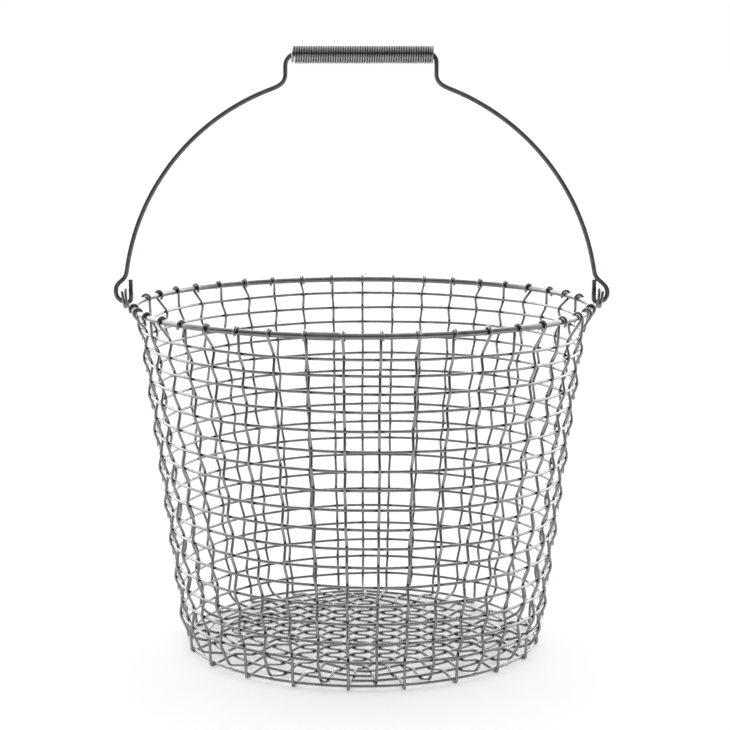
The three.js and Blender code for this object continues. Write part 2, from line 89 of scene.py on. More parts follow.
def linear(colour: str) -> tuple[float, float, float, float]:
    """Turn an sRGB hex colour into the linear values that shaders take.

    Args:
        colour: The colour as "#rrggbb".

    Returns:
        Linear red, green, blue and an alpha of 1.
    """
    values = []
    for start in (1, 3, 5):
        level = int(colour[start:start + 2], 16) / 255
        values.append(level / 12.92 if level <= 0.04045 else ((level + 0.055) / 1.055) ** 2.4)
    return (*values, 1.0)


def add_node(tree: bpy.types.NodeTree, kind: str, inputs: dict | None = None,
             links: dict | None = None, **settings: object) -> bpy.types.Node:
    """Add a shader node with its settings and links.

    Args:
        tree: The node tree that gets the node.
        kind: The node's type name.
        inputs: Values by the input's name or number.
        links: The source node and its output's name, by the input's name or number.
        **settings: Other properties of the node.

    Returns:
        The new node.
    """
    node = tree.nodes.new(kind)
    for name, value in settings.items():
        setattr(node, name, value)
    for name, value in (inputs or {}).items():
        node.inputs[name].default_value = value
    for name, (source, output) in (links or {}).items():
        tree.links.new(source.outputs[output], node.inputs[name])
    return node


@dataclass(frozen=True)
class DrawnSteel:
    """Cold-drawn bright steel wire.

    Drawing through a die leaves fine lines along the wire and a soft satin shine. Painted shade
    darkens the wire beside the crossings, where one wire shades the other, and in the coil's grooves.
    """

    name: str
    slot: str
    bright: str
    dull: str
    # colour of the painted shade beside a crossing and in the coil's grooves
    crossing: str = "#1d1d1c"
    roughness: float = 0.2
    roughness_spread: float = 0.12
    patch_mm: float = 7.0
    line_mm: float = 0.22      # real drawing lines are about 0.05 mm, too fine to show
    line_length_mm: float = 9.0
    line_depth_mm: float = 0.02
    line_bump: float = 0.25
    line_share: float = 0.45
    tone_range: tuple[float, float] = (0.36, 0.64)

    def material(self) -> bpy.types.Material:
        """Make the finish's material, or find it when it is made already.

        Returns:
            The material.
        """
        made = bpy.data.materials.get(self.name)
        if made:
            return made
        made = bpy.data.materials.new(self.name)
        made.use_nodes = True
        tree = made.node_tree
        shader = tree.nodes["Principled BSDF"]
        shader.inputs["Metallic"].default_value = 1.0
        place = add_node(tree, "ShaderNodeTexCoord")
        along = add_node(tree, "ShaderNodeUVMap", uv_map="wire")
        stretch = add_node(tree, "ShaderNodeMapping", {
            "Scale": (1 / (self.line_length_mm * MM), 1 / (self.line_mm * MM), 1.0),
        }, {"Vector": (along, "UV")})
        lines = add_node(tree, "ShaderNodeTexNoise", {"Scale": 1.0, "Detail": 3.0},
                         {"Vector": (stretch, "Vector")})
        patches = add_node(tree, "ShaderNodeTexNoise", {
            "Scale": 1 / (self.patch_mm * MM), "Detail": 4.0, "Roughness": 0.6,
        }, {"Vector": (place, "Object")})
        tone = add_node(tree, "ShaderNodeMix", {"Factor": self.line_share}, {
            "A": (patches, "Fac"), "B": (lines, "Fac"),
        })
        contrast = add_node(tree, "ShaderNodeMapRange", {
            "From Min": self.tone_range[0], "From Max": self.tone_range[1],
        }, {"Value": (tone, "Result")})
        metal = add_node(tree, "ShaderNodeMix", {
            "A": linear(self.dull), "B": linear(self.bright),
        }, {"Factor": (contrast, "Result")}, data_type="RGBA")
        # Painted shade: the wire darkens towards the crossing colour where the mesh marks it
        contact_shade = add_node(tree, "ShaderNodeAttribute", attribute_name="contact_shade")
        painted_shade = add_node(tree, "ShaderNodeMix", {"B": linear(self.crossing)}, {
            "Factor": (contact_shade, "Fac"), "A": (metal, "Result"),
        }, data_type="RGBA")
        tree.links.new(painted_shade.outputs["Result"], shader.inputs["Base Color"])
        gloss = add_node(tree, "ShaderNodeMapRange", {
            "To Min": self.roughness, "To Max": self.roughness + self.roughness_spread,
        }, {"Value": (tone, "Result")})
        tree.links.new(gloss.outputs["Result"], shader.inputs["Roughness"])
        bump = add_node(tree, "ShaderNodeBump", {
            "Strength": self.line_bump, "Distance": self.line_depth_mm * MM,
        }, {"Height": (lines, "Fac")})
        tree.links.new(bump.outputs["Normal"], shader.inputs["Normal"])
        return made


# Thin bright wire, with a soft shine and painted shade beside each crossing
WEAVE_STEEL = DrawnSteel("drawn steel weave wire", "weave_steel", "#bdbdbb", "#969694")
# Heavier wire of the same kind, a little greyer
RIM_STEEL = DrawnSteel("drawn steel rim wire", "rim_steel", "#a9a9a7", "#868684")
# Pressed round the ends of the rim wire, so its shine is broad and dull
SLEEVE_STEEL = DrawnSteel("pressed steel sleeve", "rim_steel", "#b4b4b2", "#8f8f8d", roughness=0.34)
# The greyest wire, whose bows mirror the bright and the dark side of the room
BAIL_STEEL = DrawnSteel("drawn steel bail wire", "bail_steel", "#8f8f8d", "#747472")
# The brightest and smoothest wire, striped by painted shade in the grooves between its turns
COIL_STEEL = DrawnSteel("drawn steel coil wire", "coil_steel", "#e6e6e4", "#bcbcba", roughness=0.16)


@dataclass
class Bend:
    """A place where a wire turns or touches another wire.

    Its last field points towards the wire that it touches there, with a length of 0 to 1 for how
    close, and sets how dark the painted shade is on that side of the wire.
    """

    point: Vector
    contact_shade: Vector = field(default_factory=NOWHERE.copy)


def rounded(bends: list[Bend], setback: float, steps: int, closed: bool = False) -> list[Bend]:
    """Join bends by straight wire, with a smooth curve at each of them.

    Args:
        bends: The bends in order.
        setback: How far from a bend its curve starts, in mm.
        steps: The number of stretches in each curve.
        closed: Whether the wire is a closed loop.

    Returns:
        Points along the wire, close together in the curves.
    """
    count = len(bends)
    line = []
    for index, bend in enumerate(bends):
        if not closed and index in (0, count - 1):
            line.append(bend)
            continue
        before = bends[index - 1].point - bend.point
        after = bends[(index + 1) % count].point - bend.point
        shortest = min(before.length, after.length)
        reach = min(setback, CURVE_SHARE * shortest)
        beside = min(BESIDE_REACH * reach, BESIDE_SHARE * shortest)
        start = bend.point + before.normalized() * reach
        end = bend.point + after.normalized() * reach
        # Painted shade beside a crossing is strongest at the bend and fades along its curve
        has_contact_shade = bend.contact_shade.length > 0
        if has_contact_shade:
            line.append(Bend(bend.point + before.normalized() * beside))
        for step in range(steps + 1):
            share = step / steps
            point = start.lerp(bend.point, share).lerp(bend.point.lerp(end, share), share)
            line.append(Bend(point, bend.contact_shade * (1 - abs(2 * share - 1) ** SHADE_FALL)))
        if has_contact_shade:
            line.append(Bend(bend.point + after.normalized() * beside))
    return line


@dataclass
class RoundWire:
    """A round wire along a line, with a small chamfer at its cut ends."""

    name: str
    line: list[Bend]
    diameter: float
    sides: int = 10
    closed: bool = False
    chamfer: float = 0.2

    def tangents(self, points: numpy.ndarray) -> numpy.ndarray:
        """Work out the wire's direction.

        Args:
            points: The points of its line, one in each row.

        Returns:
            The unit direction at every point.
        """
        if self.closed:
            ways = numpy.roll(points, -1, axis=0) - numpy.roll(points, 1, axis=0)
        else:
            ways = numpy.gradient(points, axis=0)
        return ways / numpy.linalg.norm(ways, axis=1)[:, None]

    def normals(self, tangents: numpy.ndarray) -> numpy.ndarray:
        """Carry one cross direction along the wire without twisting it.

        Args:
            tangents: The wire's direction at every point.

        Returns:
            A unit vector across the wire at every point.
        """
        start = numpy.cross(tangents[0], (0.0, 0.0, 1.0))
        if numpy.linalg.norm(start) < 0.1:
            start = numpy.cross(tangents[0], (0.0, 1.0, 0.0))
        normals = [start / numpy.linalg.norm(start)]
        for tangent in tangents[1:]:
            turned = normals[-1] - tangent * numpy.dot(normals[-1], tangent)
            normals.append(turned / numpy.linalg.norm(turned))
        return numpy.array(normals)

    def with_ends(self) -> tuple[list[Bend], list[float]]:
        """Add a chamfer to the cut ends of an open wire.

        Returns:
            The line, and the wire's radius at each of its points.
        """
        radius = self.diameter / 2
        if self.closed:
            return self.line, [radius] * len(self.line)
        inset = []
        for end, inner in ((self.line[0], self.line[1]), (self.line[-1], self.line[-2])):
            way = (inner.point - end.point).normalized()
            inset.append(Bend(end.point + way * self.chamfer, end.contact_shade))
        line = [self.line[0], inset[0], *self.line[1:-1], inset[1], self.line[-1]]
        radii = [radius] * len(line)
        radii[0] = radii[-1] = radius - self.chamfer
        return line, radii

    def mesh(self) -> bpy.types.Mesh:
        """Make the wire's surface, with the way along it and round it as UVs.

        Returns:
            One closed mesh, in metres.
        """
        line, radii = self.with_ends()
        points = numpy.array([tuple(bend.point) for bend in line])
        touches = numpy.array([tuple(bend.contact_shade) for bend in line])
        tangents = self.tangents(points)
        across = self.normals(tangents)
        other = numpy.cross(tangents, across)
        count = len(points)
        angles = numpy.linspace(0, 2 * math.pi, self.sides, endpoint=False)
        outward = (across[:, None, :] * numpy.cos(angles)[None, :, None]
                   + other[:, None, :] * numpy.sin(angles)[None, :, None])
        rings = points[:, None, :] + outward * numpy.array(radii)[:, None, None]
        # Painted shade on the side of the wire that faces the wire it touches
        contact_shade = numpy.clip(SHADE_GAIN * (outward * touches[:, None, :]).sum(axis=2), 0.0, 1.0)
        lengths = numpy.linalg.norm(numpy.roll(points, -1, axis=0) - points, axis=1)
        travelled = numpy.concatenate(([0.0], numpy.cumsum(lengths)))
        faces = []
        uvs = []
        girth = math.pi * self.diameter / self.sides
        for ring in range(count if self.closed else count - 1):
            after = (ring + 1) % count
            for side in range(self.sides):
                beside = (side + 1) % self.sides
                faces.append((ring * self.sides + side, ring * self.sides + beside,
                              after * self.sides + beside, after * self.sides + side))
                low, high = travelled[ring], travelled[ring + 1]
                uvs += [(low, side * girth), (low, (side + 1) * girth),
                        (high, (side + 1) * girth), (high, side * girth)]
        if not self.closed:
            last = (count - 1) * self.sides
            faces.append(tuple(range(self.sides - 1, -1, -1)))
            faces.append(tuple(range(last, last + self.sides)))
            uvs += [(0.0, 0.0)] * (2 * self.sides)
        mesh = bpy.data.meshes.new(self.name)
        mesh.from_pydata((rings.reshape(-1, 3) * MM).tolist(), [], faces)
        layer = mesh.uv_layers.new(name="wire")
        layer.data.foreach_set("uv", (numpy.array(uvs) * MM).ravel())
        attribute = mesh.attributes.new("contact_shade", "FLOAT", "POINT")
        attribute.data.foreach_set("value", contact_shade.ravel())
        mesh.polygons.foreach_set("use_smooth", [len(face) == 4 for face in faces])
        mesh.update()
        return mesh

    def place(self, finish: DrawnSteel, body: Body, *nodes: str) -> bpy.types.Object:
        """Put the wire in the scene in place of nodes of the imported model.

        Args:
            finish: The wire's finish.
            body: The body that it moves with.
            *nodes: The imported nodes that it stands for.

        Returns:
            The new piece.
        """
        piece = bpy.data.objects.new(self.name, self.mesh())
        bpy.context.scene.collection.objects.link(piece)
        piece.data.materials.append(finish.material())
        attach(piece, body.value)
        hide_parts(*nodes)
        LOG.info("%s: %d faces, stands for %s", self.name, len(piece.data.polygons), nodes[0])
        return piece


class Wander:
    """A slow random drift along a wire, as hand work leaves it."""

    def __init__(self, seed: int, size: float, waves: tuple[float, ...]) -> None:
        """Choose the drift's waves.

        Args:
            seed: The number that the waves are drawn from.
            size: The drift's largest size, in mm.
            waves: The number of waves in one turn, for each wave.
        """
        draw = random.Random(seed)
        self.waves = [(wave, draw.uniform(0, 2 * math.pi)) for wave in waves]
        self.size = size / len(waves)

    def at(self, angle: float) -> float:
        """Return the drift at an angle, in mm."""
        return self.size * sum(math.cos(wave * angle + phase) for wave, phase in self.waves)


def radial(angle: float) -> Vector:
    """Return the level unit vector at an angle from +X."""
    return Vector((math.cos(angle), math.sin(angle), 0.0))


@dataclass(frozen=True)
class Family:
    """Woven wires that lie side by side across the base.

    across is the number of wires that each of them crosses. first_side is 1 where the first wire
    passes under at its first crossing, or -1 over.
    """

    name: str
    count: int
    across: int
    first_side: int

    def side(self, index: int, crossing: int) -> int:
        """Return 1 where a wire passes under at a crossing in the base, or -1 over."""
        return self.first_side * (-1) ** (index + crossing)


@dataclass(frozen=True)
class BaseEnd:
    """One end of a wire in the base.

    number counts the ends counterclockwise from the right eye. edge is where it leaves the weave,
    and foot is where it meets the base ring.
    """

    number: int
    angle: float
    edge: Vector
    foot: Vector


@dataclass
class Basket:
    """The woven wires, the weft, the base and the rim, which are one body.

    Sizes are in mm. Where a size is a pair without a comment, each wire draws its own between them.
    """

    # Wires and wall
    wire: float = 2.1
    rim_wire: float = 4.2
    crossing: float = 2.2       # between the middles of two wires that cross
    rim_radius: float = 168.2
    rim_height: float = 254.3
    rim_flare: float = 3.7
    wall_foot_radius: float = 132.6
    ring_radius: float = 130.2
    drift_size: float = 0.7     # how far the weft's rows stray
    drift_waves: tuple[float, ...] = (0.37, 1.31, 2.7, 5.3, 9.1)
    lean_size: float = 0.55     # how far the uprights stray sideways
    lean_waves: tuple[float, ...] = (1, 3, 6)
    # Uprights and rows
    eye_room_back: float = math.radians(12.6)
    eye_room_front: float = math.radians(8.3)
    first_row_height: float = 14.8
    top_row_drop: float = 10.5
    turns: int = 17
    close_turns: int = 3        # turns near the rim that lie closer
    close_share: float = 0.845
    weft_wave: float = 0.22
    weft_places: tuple[float, ...] = (-0.5, -0.2, -0.09, 0.0, 0.09, 0.2)    # near a crossing
    # how far along the weft the painted shade of a crossing reaches, in crossings
    weft_shade: float = 0.2
    # Sleeve on the rim
    sleeve_diameter: float = 5.6
    sleeve_length: float = 21.0
    sleeve_after: int = 29      # the wire end before it
    sleeve_sides: int = 24
    sleeve_steps: int = 8
    sleeve_chamfer: float = 0.35
    # Base weave and the turns round it
    long_wires: int = 11
    cross_wires: int = 10
    pitch: float = 13.4
    weave_angle: float = math.radians(42.9)
    tail: float = 3.0           # of the wire that ends in the base
    base_turns: int = 3
    base_rise: float = 1.6
    turn_inset: float = 0.5     # room inside and outside the turns, counted in turns
    turn_outset: float = 0.1
    # Where a wire passes the base ring, over or under it
    foot_over: tuple[float, float] = (-0.6, 0.2)
    foot_start: float = -1.2
    foot_end: float = 1.4
    foot_slack: tuple[float, float] = (-0.3, 0.9)
    # how dark the painted shade is where a wire passes under the ring
    foot_shade: float = 0.8
    edge_shift: float = 1.0     # how far the first and last bends in the wall move
    # Hooks round the rim, in mm and degrees
    hook_reach: float = 3.25
    hook_slack: tuple[float, float] = (-0.15, 0.3)
    hook_starts: tuple[float, float] = (-34.0, 212.0)   # from inside the last row, and outside
    hook_turn: tuple[float, float] = (248.0, 282.0)
    hook_slant: tuple[float, float] = (0.3, 1.1)
    hook_opening: float = 0.5
    hook_opens: float = 0.8     # the share of the hook where it begins to open
    # how dark the painted shade is on the inside of a hook, against the rim
    hook_shade: float = 0.6
    hook_stations: int = 13
    # Curves of the eyes and of all other bends
    eye_setback: float = 1.6
    eye_steps: int = 3
    setback: float = 3.6
    bend_steps: int = 4

    def __post_init__(self) -> None:
        """Work out the places that follow from the sizes."""
        self.left_eye = self.long_wires + self.cross_wires - 1
        self.ends = 2 * self.left_eye + 1
        self.crossings = self.turns * self.ends + self.left_eye - 1
        self.first_ends = (0, self.long_wires, self.left_eye, self.left_eye + self.long_wires)
        self.ring_height = self.wire / 2 + self.crossing
        self.weave_height = self.ring_height + self.base_rise
        rise = self.rim_height - self.top_row_drop - self.first_row_height
        self.row_pitch = rise / (self.turns - self.close_turns * (1 - self.close_share))
        self.families = (
            Family("long_wire", self.long_wires, self.cross_wires, 1),
            Family("cross_wire", self.cross_wires, self.long_wires, -1 if self.cross_wires % 2 else 1),
        )
        self.drift = Wander(DRIFT_SEED, self.drift_size, self.drift_waves)
        self.leans = [Wander(LEAN_SEED + end, self.lean_size, self.lean_waves)
                      for end in range(self.ends)]

    def end_angle(self, end: int) -> float:
        """Give a wire end's place round the basket, which leaves more room behind both eyes.

        Args:
            end: The wire end's number.

        Returns:
            The angle from +X, in radians.
        """
        if end == 0:
            return 0.0
        if end < self.left_eye:
            step = (math.pi - 2 * self.eye_room_back) / (self.left_eye - 2)
            return self.eye_room_back + (end - 1) * step
        if end == self.left_eye:
            return math.pi
        step = (math.pi - 2 * self.eye_room_front) / (self.left_eye - 1)
        return math.pi + self.eye_room_front + (end - self.left_eye - 1) * step

    def first_crossing(self, end: int) -> int:
        """Return the first crossing of the weft with a wire end, or the wire end of a crossing."""
        return (self.left_eye - 1 - end) % self.ends

    def crossing_angle(self, crossing: float) -> float:
        """Give the weft's place round the basket.

        Args:
            crossing: The way along the weft, counted in crossings.

        Returns:
            The angle from +X, in radians.
        """
        whole = math.floor(crossing)
        start = self.end_angle(self.first_crossing(whole))
        finish = self.end_angle(self.first_crossing(whole + 1))
        return start - (crossing - whole) * ((start - finish) % (2 * math.pi))

    def row_height(self, crossing: float) -> float:
        """Give the weft's height, which rises evenly and less steeply near the rim.

        Args:
            crossing: The way along the weft, counted in crossings.

        Returns:
            The height in mm, with the drift of hand work.
        """
        turns = (crossing - (self.left_eye - 2) / 2) / self.ends
        even = min(turns, self.turns - self.close_turns)
        close = min(turns - even, self.close_turns)
        height = self.first_row_height + self.row_pitch * (even + self.close_share * close)
        return height + self.drift.at(2 * math.pi * crossing / self.ends)

    def wall_side(self, crossing: int) -> int:
        """Return 1 where an upright passes outside the weft at a crossing, or -1 inside."""
        return 1 if crossing % 2 else -1

    def wall_radius(self, height: float) -> float:
        """Return the wall's middle radius at a height, in mm."""
        spread = self.rim_radius - self.rim_flare - self.wall_foot_radius
        return self.wall_foot_radius + spread * height / self.rim_height

    def in_wall(self, angle: float, radius: float, height: float, shift: float = 0.0) -> Vector:
        """Return the point at an angle, radius and height, moved sideways by shift."""
        point = radial(angle) * radius + UP * height
        return point + radial(angle + math.pi / 2) * shift

    def base_end(self, quarter: int, position: int) -> BaseEnd:
        """Return one end of a wire in the base.

        Args:
            quarter: The side of the weave that the end leaves on, from 0 to 3.
            position: The end's place on that side, counted counterclockwise.

        Returns:
            The end's number and places.
        """
        family = self.families[quarter % 2]
        rotation = self.weave_angle + quarter * math.pi / 2
        number = self.first_ends[quarter] + position
        angle = self.end_angle(number)
        offset = position - (family.count - 1) / 2
        edge = radial(rotation) * (family.across / 2 * self.pitch)
        edge += radial(rotation + math.pi / 2) * (offset * self.pitch)
        return BaseEnd(number, angle, edge, radial(angle) * self.ring_radius)

    def turn_point(self, end: BaseEnd, turn: int) -> Vector:
        """Return where a base turn crosses a wire end, at height 0."""
        room = self.base_turns + self.turn_inset + self.turn_outset
        return end.edge.lerp(end.foot, (turn + self.turn_inset) / room)

    def turn_height(self, turn: int) -> float:
        """Return a base turn's height, in mm."""
        return self.weave_height - self.base_rise * (turn + 1) / (self.base_turns + 1)

    def foot(self, end: BaseEnd, side: int) -> list[Bend]:
        """Return how a wire end passes the base ring.

        Args:
            end: The wire end.
            side: 1 where it passes under the ring, or -1 over.

        Returns:
            The bends in order.
        """
        draw = random.Random(FOOT_SEED + end.number)
        if side < 0:
            radius = self.ring_radius + draw.uniform(*self.foot_over)
            return [Bend(self.in_wall(end.angle, radius, self.ring_height + self.crossing), -UP)]
        bends = []
        for reach in (self.foot_start, self.foot_end + draw.uniform(*self.foot_slack)):
            point = self.in_wall(end.angle, self.ring_radius + reach, self.wire / 2)
            bends.append(Bend(point, UP * self.foot_shade))
        return bends

    def hook(self, angle: float, side: int, shift: float) -> list[Bend]:
        """Return the wire's end round the rim.

        Args:
            angle: The upright's angle.
            side: 1 where the upright passes outside the last row, or -1 inside.
            shift: How far the upright has drifted sideways.

        Returns:
            The bends from where the wire meets the rim to its cut end.
        """
        draw = random.Random(round(angle * 1000))
        start = self.hook_starts[0] if side < 0 else self.hook_starts[1]
        end_turn = draw.uniform(*self.hook_turn)
        slant = draw.uniform(*self.hook_slant) * draw.choice((-1, 1))
        reach = self.hook_reach + draw.uniform(*self.hook_slack)
        bends = []
        for index in range(self.hook_stations):
            share = index / (self.hook_stations - 1)
            turned = math.radians(start - side * share * end_turn)
            towards = radial(angle) * math.cos(turned) + UP * math.sin(turned)
            open_share = max(0.0, share - self.hook_opens) / (1 - self.hook_opens)
            opened = reach + self.hook_opening * open_share
            centre = self.in_wall(angle, self.rim_radius, self.rim_height, shift + slant * share)
            bends.append(Bend(centre + towards * opened, towards * -self.hook_shade))
        return bends

    def eye(self, end: int, side: int) -> list[Bend]:
        """Return the wire's end that makes an eye of almost two turns for the bail.

        Each place gives a bend's distance from the middle, its way sideways and its height.

        Args:
            end: The wire end's number.
            side: 1 where the upright passes outside the last row, or -1 inside.

        Returns:
            The bends from above the last row to the cut end.
        """
        forward = -1 if end == 0 else 1
        places = [] if side > 0 else [(163.2, 0.2, 245.6)]
        places += [
            (168.3, 0.8, 250.4), (171.7, 1.9, 251.5), (173.3, 3.0, 253.6), (174.3, 3.2, 257.0),
            (174.8, 3.1, 262.2), (175.0, 1.9, 265.0), (175.2, 0.0, 266.2), (175.4, -1.9, 265.0),
            (175.5, -3.1, 262.2), (175.2, -3.2, 257.5), (174.9, -2.7, 254.0), (175.0, -0.9, 252.5),
            (175.4, 1.2, 252.5), (176.0, 3.1, 253.9), (176.5, 3.7, 257.5), (177.2, 3.4, 262.2),
            (177.6, 2.8, 264.8),
        ]
        angle = self.end_angle(end)
        return [Bend(self.in_wall(angle, out, height, forward * shift))
                for out, shift, height in places]

    def upright(self, end: BaseEnd, last_side: int) -> list[Bend]:
        """Return one end of a woven wire, from the base weave's edge over the rim.

        Args:
            end: The wire end.
            last_side: 1 where it passes under at its last crossing in the weave, or -1 over.

        Returns:
            Points along the wire in order.
        """
        is_eye = end.number in (0, self.left_eye)
        side = -last_side
        bends = [Bend(end.edge + UP * self.weave_height)]
        for turn in range(self.base_turns):
            height = self.turn_height(turn) - side * self.crossing
            bends.append(Bend(self.turn_point(end, turn) + UP * height, UP * side))
            side = -side
        bends += self.foot(end, side)
        rows = range(self.first_crossing(end.number), self.crossings, self.ends)
        shift = 0.0
        for crossing in rows:
            side = -side
            height = self.row_height(crossing)
            radius = self.wall_radius(height) + side * self.crossing
            if crossing == rows[0] or (crossing == rows[-1] and side > 0):
                height -= side * self.edge_shift
            if not is_eye:
                shift = self.leans[end.number].at(crossing / self.crossings * math.pi)
            point = self.in_wall(end.angle, radius, height, shift)
            # painted shade on the side that faces the weft
            bends.append(Bend(point, radial(end.angle) * -side))
        if is_eye:
            top = self.eye(end.number, side)
        else:
            top = self.hook(end.angle, side, shift)
        line = rounded([*bends, top[0]], self.setback, self.bend_steps)[1:-1]
        return line + (rounded(top, self.eye_setback, self.eye_steps) if is_eye else top)

    def woven_line(self, quarter: int, index: int) -> list[Bend]:
        """Return a whole woven wire: down one wall, through the base and up the other wall.

        The last cross wire has no end in the left side of the wall.

        Args:
            quarter: The family's number, which is the side of the weave of its far ends.
            index: The wire's number in its family, from 0.

        Returns:
            Points along the wire in order.
        """
        family = self.families[quarter]
        rotation = self.weave_angle + quarter * math.pi / 2
        sideways = radial(rotation + math.pi / 2) * ((index - (family.count - 1) / 2) * self.pitch)
        near_end = self.base_end(quarter + 2, family.count - 1 - index)
        near = self.upright(near_end, family.side(index, 0))
        bends = [near[0]]
        for crossing in range(family.across):
            run = (crossing - (family.across - 1) / 2) * self.pitch
            under = family.side(index, crossing)
            height = self.weave_height - under * self.crossing / 2
            # painted shade on the side that faces the crossing wire
            bends.append(Bend(radial(rotation) * run + sideways + UP * height, UP * under))
        if quarter == 1 and index == family.count - 1:
            bends.append(Bend(bends[-1].point + radial(rotation) * self.tail))
            return near[::-1] + rounded(bends, self.setback, self.bend_steps)[1:]
        far_end = self.base_end(quarter, index)
        far = self.upright(far_end, family.side(index, family.across - 1))
        middle = rounded([*bends, far[0]], self.setback, self.bend_steps)[1:-1]
        return near[::-1] + middle + far

    def weft_line(self) -> list[Bend]:
        """Draw the weft, which winds up the wall and gives way a little to every upright.

        Returns:
            Points along the wire, from the base to the rim.
        """
        places = [(crossing, place) for crossing in range(self.crossings)
                  for place in self.weft_places]
        places.append((self.crossings - 1, 0.5))
        line = []
        for crossing, place in places:
            side = self.wall_side(crossing)
            angle = self.crossing_angle(crossing + place)
            height = self.row_height(crossing + place)
            wave = -side * self.weft_wave * math.cos(math.pi * place)
            # painted shade on the side of the weft that faces the upright, near the crossing
            near = max(0.0, 1 - abs(place) / self.weft_shade)
            point = self.in_wall(angle, self.wall_radius(height) + wave, height)
            line.append(Bend(point, radial(angle) * side * near))
        return line

    def turn_line(self, turn: int) -> list[Bend]:
        """Draw a base turn, which crosses every wire end between the weave and the ring.

        Args:
            turn: The turn's number, from 0 at the weave.

        Returns:
            Points along the closed wire.
        """
        bends = []
        for quarter, first in enumerate(self.first_ends):
            after = (*self.first_ends, self.ends)[quarter + 1]
            for position in range(after - first):
                point = self.turn_point(self.base_end(quarter, position), turn)
                bends.append(Bend(point + UP * self.turn_height(turn), FAINT_SHADE))
        return rounded(bends, self.pitch / 3, self.bend_steps, closed=True)

    def ring(self, name: str, node: str, finish: DrawnSteel, diameter: float, radius: float,
             height: float) -> None:
        """Make a round closed wire about the basket's middle.

        Args:
            name: The piece's name.
            node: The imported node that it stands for.
            finish: The wire's finish.
            diameter: The wire's diameter, in mm.
            radius: The ring's radius, in mm.
            height: The ring's height, in mm.
        """
        parts = 4 * self.ends
        line = [Bend(self.in_wall(2 * math.pi * part / parts, radius, height))
                for part in range(parts)]
        wire = RoundWire(name, line, diameter, sides=THICK_SIDES, closed=True)
        wire.place(finish, Body.BASKET, node)

    def sleeve(self) -> None:
        """Make the sleeve that joins both ends of the rim wire, between two uprights."""
        start = self.end_angle(self.sleeve_after)
        middle = (start + self.end_angle(self.sleeve_after + 1)) / 2
        half = self.sleeve_length / 2 / self.rim_radius
        line = []
        for step in range(self.sleeve_steps + 1):
            angle = middle + half * (2 * step / self.sleeve_steps - 1)
            line.append(Bend(self.in_wall(angle, self.rim_radius, self.rim_height)))
        tube = RoundWire("rim_sleeve_round", line, self.sleeve_diameter, self.sleeve_sides,
                         chamfer=self.sleeve_chamfer)
        tube.place(SLEEVE_STEEL, Body.BASKET, "rim_sleeve")

    def build(self) -> None:
        """Make every wire of the basket."""
        self.ring("rim_wire_round", "rim_ring", RIM_STEEL, self.rim_wire, self.rim_radius,
                  self.rim_height)
        self.ring("base_ring_round", "base_ring", WEAVE_STEEL, self.wire, self.ring_radius,
                  self.ring_height)
        self.sleeve()
        weft = RoundWire("weft_wire_round", self.weft_line(), self.wire)
        stretches = [f"weft_turn_{turn + 1:02d}" for turn in range(self.turns + 1)]
        weft.place(WEAVE_STEEL, Body.BASKET, *stretches)
        for turn in range(self.base_turns):
            node = f"base_turn_{turn + 1:02d}"
            wire = RoundWire(f"{node}_round", self.turn_line(turn), self.wire, closed=True)
            wire.place(WEAVE_STEEL, Body.BASKET, node)
        for quarter, family in enumerate(self.families):
            for index in range(family.count):
                node = f"{family.name}_{index + 1:02d}"
                wire = RoundWire(f"{node}_round", self.woven_line(quarter, index), self.wire)
                wire.place(WEAVE_STEEL, Body.BASKET, node)


@dataclass(frozen=True)
class BailHalf:
    """The sizes in which the two halves of the hand-bent bail differ, in mm.

    coil_end is how far the coil reaches on this side, and coil_room is its gap to the neck.
    """

    hook_bend: float
    foot_out: float
    bow_radius: float
    neck_bend: float
    coil_end: float
    coil_room: float


